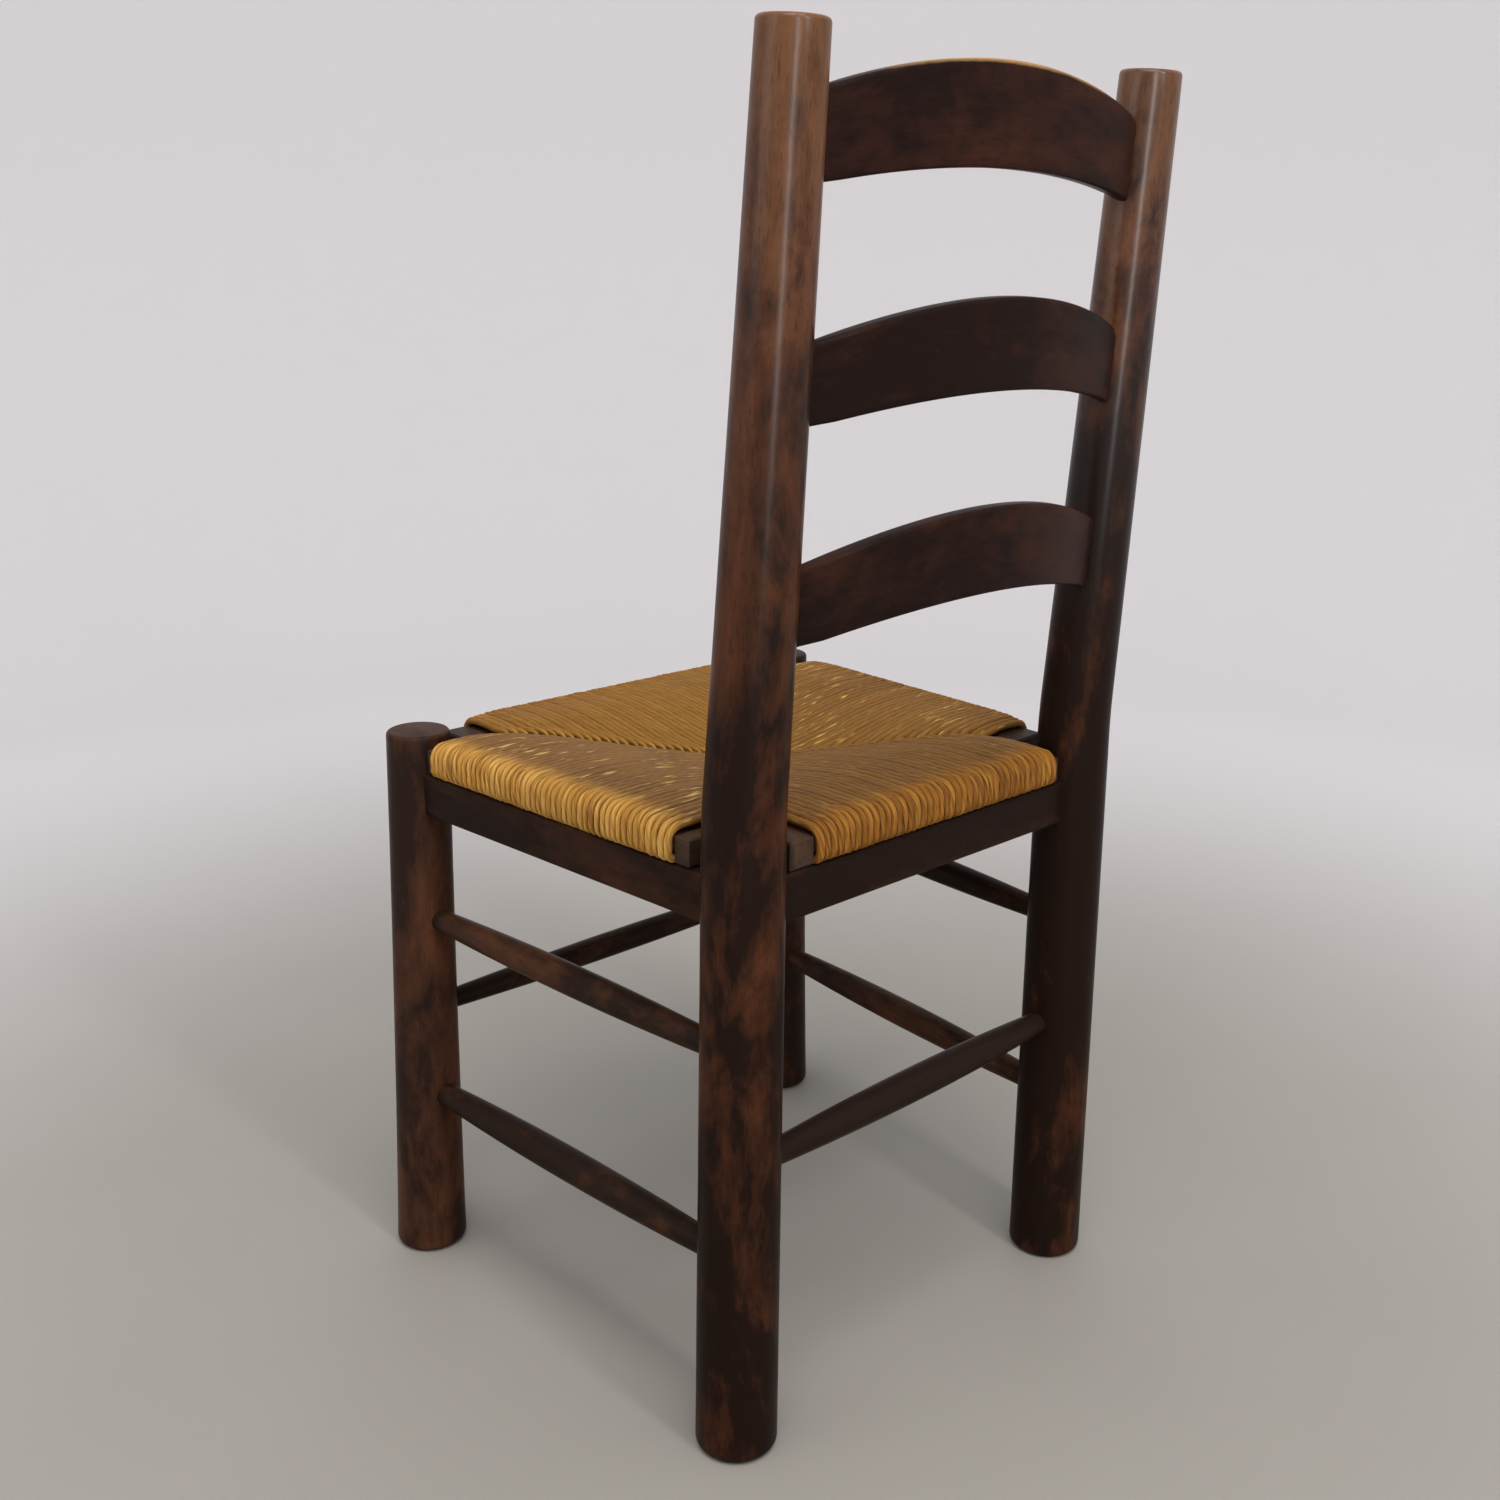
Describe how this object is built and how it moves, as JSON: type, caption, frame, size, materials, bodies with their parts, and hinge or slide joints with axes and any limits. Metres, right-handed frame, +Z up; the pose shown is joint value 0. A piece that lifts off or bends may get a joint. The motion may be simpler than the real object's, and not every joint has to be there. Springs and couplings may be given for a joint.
{
  "type": "dining chair",
  "caption": "Ladder-back dining chair with round bent rear posts, arched slats, flat aprons, turned stretchers and a drop-in woven rush seat.",
  "frame": {"origin": "on the floor under the middle of the chair's outer box", "axes": "+Z up; the front of the seat faces -Y; +X is the sitter's left"},
  "size_m": [0.4768, 0.457, 0.9412],
  "materials": {
    "post_wood": "dark brown stain under worn satin varnish, reddish where rubbed",
    "slat_wood": "dark brown stain under satin varnish, paler on rubbed edges",
    "rail_wood": "dark brown stain under satin varnish",
    "seat_wood": "dark stain, nearly matt",
    "rush": "twisted natural rush, golden, polished brown where sat on"
  },
  "bodies": {
    "frame": {"rear_post_left": "post_wood", "rear_post_right": "post_wood", "front_leg_left": "post_wood", "front_leg_right": "post_wood", "apron_left": "rail_wood", "apron_right": "rail_wood", "apron_front": "rail_wood", "apron_rear": "rail_wood", "stretcher_left_upper": "rail_wood", "stretcher_left_lower": "rail_wood", "stretcher_right_upper": "rail_wood", "stretcher_right_lower": "rail_wood", "stretcher_front": "rail_wood", "stretcher_rear": "rail_wood", "back_slat_top": "slat_wood", "back_slat_middle": "slat_wood", "back_slat_bottom": "slat_wood"},
    "seat": {"seat_rail_front": "seat_wood", "seat_rail_rear": "seat_wood", "seat_rail_left": "seat_wood", "seat_rail_right": "seat_wood", "seat_block_rear_left": "seat_wood", "seat_block_rear_right": "seat_wood", "seat_block_front_left": "seat_wood", "seat_block_front_right": "seat_wood", "rush_weave": "rush"}
  },
  "joints": [
    {"name": "seat_lift", "type": "slide", "parent": "frame", "child": "seat", "axis": [0, 0, 1], "range_m": [0, 0.06]}
  ]
}
